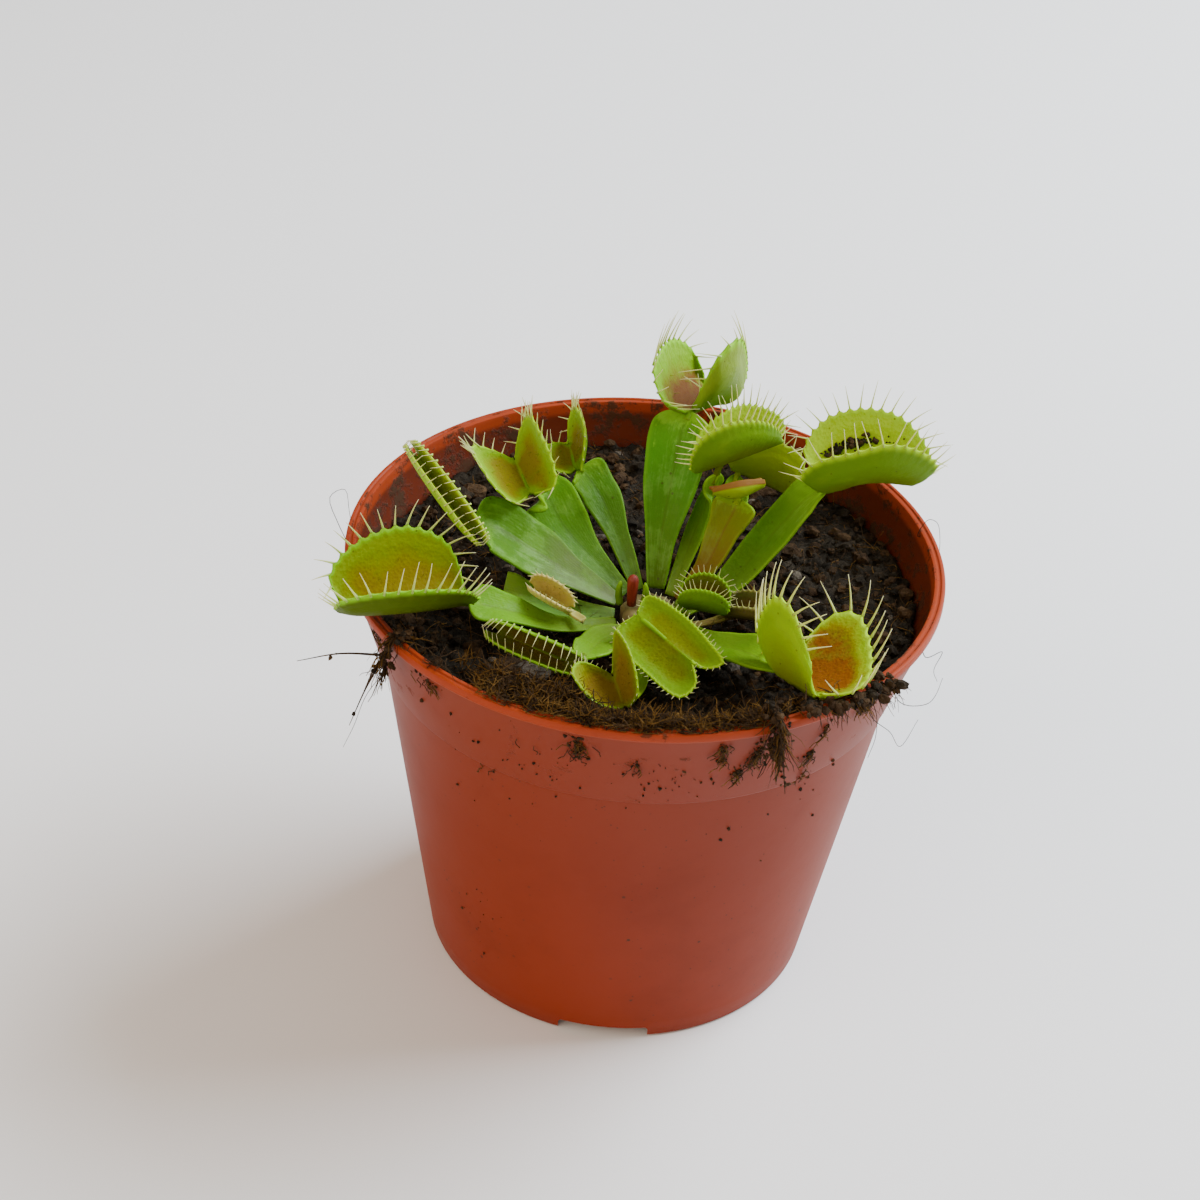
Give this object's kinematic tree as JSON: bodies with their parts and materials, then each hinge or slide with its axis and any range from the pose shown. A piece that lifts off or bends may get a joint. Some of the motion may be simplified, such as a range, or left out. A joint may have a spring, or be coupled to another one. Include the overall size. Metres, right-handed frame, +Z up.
{
  "type": "potted venus flytrap",
  "caption": "Venus flytrap in a round tapered nursery pot: a rosette of winged leaves, each ending in a two-lobed trap edged with bristles, rising from dark peat.",
  "frame": {"origin": "on the ground plane under the middle of the whole outline, at the level of the foot ring's underside", "axes": "+Z up along the pot's axis, -Y towards the viewer in the picture, +X to the right"},
  "size_m": [0.094, 0.09, 0.1032],
  "materials": {
    "pot_plastic": "terracotta brown moulded polypropylene, satin, slightly translucent at the lip",
    "peat": "moist dark peat with crumbs and brown moss fibre",
    "peat_roots": "peat and fine dark roots",
    "pale_crown": "pale fleshy leaf bases",
    "green_leaf": "living leaf: bright yellow-green lobes, mid-green blades, red-brown inside the traps, waxy sheen",
    "red_shoot": "dark red young leaf",
    "dead_leaf": "dry, papery, straw to olive brown"
  },
  "bodies": {
    "root": {"pot": "pot_plastic", "soil": "peat", "crown": "pale_crown", "young_shoot": "red_shoot", "shoot_scale_left": "green_leaf", "shoot_scale_right": "green_leaf", "leaf_back_tall": "green_leaf", "leaf_back_right": "green_leaf", "leaf_right_low": "green_leaf", "leaf_young_closed": "green_leaf", "leaf_right_long": "green_leaf", "leaf_right_front": "green_leaf", "leaf_front_open": "green_leaf", "leaf_front_small": "green_leaf", "leaf_front_left": "green_leaf", "leaf_left_long": "green_leaf", "leaf_left_broad": "green_leaf", "leaf_left_cut": "green_leaf", "leaf_back_left": "green_leaf", "leaf_back_mid": "green_leaf", "leaf_young_low": "green_leaf", "withered_trap": "dead_leaf", "bleached_trap": "dead_leaf", "root_clump_left": "peat_roots", "root_clump_front": "peat_roots"}
  },
  "joints": []
}
